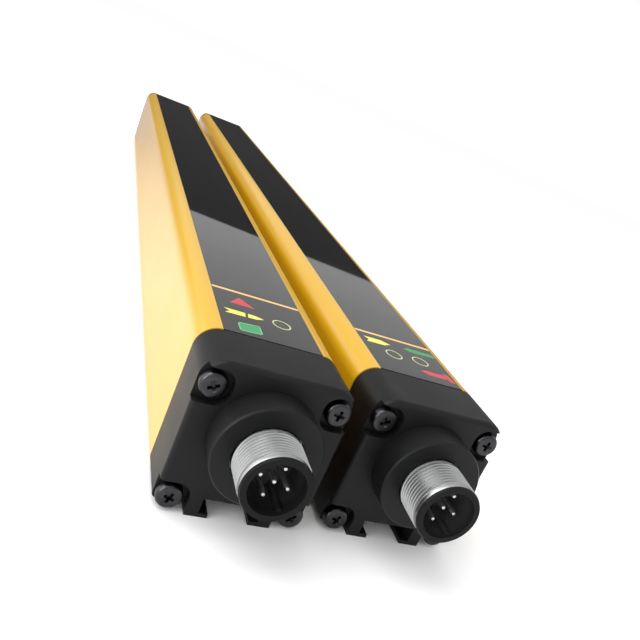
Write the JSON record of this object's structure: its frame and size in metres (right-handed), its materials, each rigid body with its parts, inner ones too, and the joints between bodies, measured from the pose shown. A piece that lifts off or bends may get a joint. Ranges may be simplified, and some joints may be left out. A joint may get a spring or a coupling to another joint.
{
  "type": "safety light curtain",
  "caption": "Safety light curtain: emitter and receiver bars with dark windows, end caps, threaded plugs and T-slotted backs.",
  "frame": {"origin": "bottom centre of the pair's bounding box", "axes": "+X across the pair from emitter to receiver, +Y along the bars away from the plugs, +Z out of the windows"},
  "size_m": [0.0606, 0.352, 0.03],
  "materials": {
    "yellow_paint": "satin powder coat",
    "dark_window": "gloss",
    "black_tape": "matte",
    "printed_film": "satin",
    "black_cap": "fine grain",
    "gasket_rubber": "matte",
    "dark_screws": "blackened",
    "nickel": "nickel plate",
    "black_insert": "matte",
    "pin_metal": "plated",
    "circuit_board": "solder mask",
    "cable_film": "film",
    "clear_plastic": "clear"
  },
  "bodies": {
    "root": {"emitter_profile": "yellow_paint", "emitter_window": "dark_window", "emitter_window_tape": "black_tape", "emitter_label": "printed_film", "emitter_connector_cap": "black_cap", "emitter_connector_cap_gasket": "gasket_rubber", "emitter_connector_cap_screws": "dark_screws", "emitter_far_cap": "black_cap", "emitter_far_cap_gasket": "gasket_rubber", "emitter_far_cap_screws": "dark_screws", "emitter_plug_shell": "nickel", "emitter_plug_lock_nut": "nickel", "emitter_plug_insert": "black_insert", "emitter_plug_pins": "pin_metal", "emitter_plug_board": "circuit_board", "emitter_flat_cable": "cable_film", "emitter_cable_socket": "black_insert", "emitter_control_board": "circuit_board", "emitter_control_chips": "black_insert", "emitter_board_header": "black_insert", "emitter_optics_board": "circuit_board", "emitter_optics_carrier": "black_insert", "emitter_lens_strip": "clear_plastic", "emitter_status_leds": "clear_plastic", "emitter_light_guides": "clear_plastic", "emitter_infrared_leds": "clear_plastic", "receiver_profile": "yellow_paint", "receiver_window": "dark_window", "receiver_window_tape": "black_tape", "receiver_label": "printed_film", "receiver_connector_cap": "black_cap", "receiver_connector_cap_gasket": "gasket_rubber", "receiver_connector_cap_screws": "dark_screws", "receiver_far_cap": "black_cap", "receiver_far_cap_gasket": "gasket_rubber", "receiver_far_cap_screws": "dark_screws", "receiver_plug_shell": "nickel", "receiver_plug_lock_nut": "nickel", "receiver_plug_insert": "black_insert", "receiver_plug_pins": "pin_metal", "receiver_plug_board": "circuit_board", "receiver_flat_cable": "cable_film", "receiver_cable_socket": "black_insert", "receiver_control_board": "circuit_board", "receiver_control_chips": "black_insert", "receiver_board_header": "black_insert", "receiver_optics_board": "circuit_board", "receiver_optics_carrier": "black_insert", "receiver_lens_strip": "clear_plastic", "receiver_status_leds": "clear_plastic", "receiver_light_guides": "clear_plastic", "receiver_photodiodes": "black_insert"}
  },
  "joints": []
}
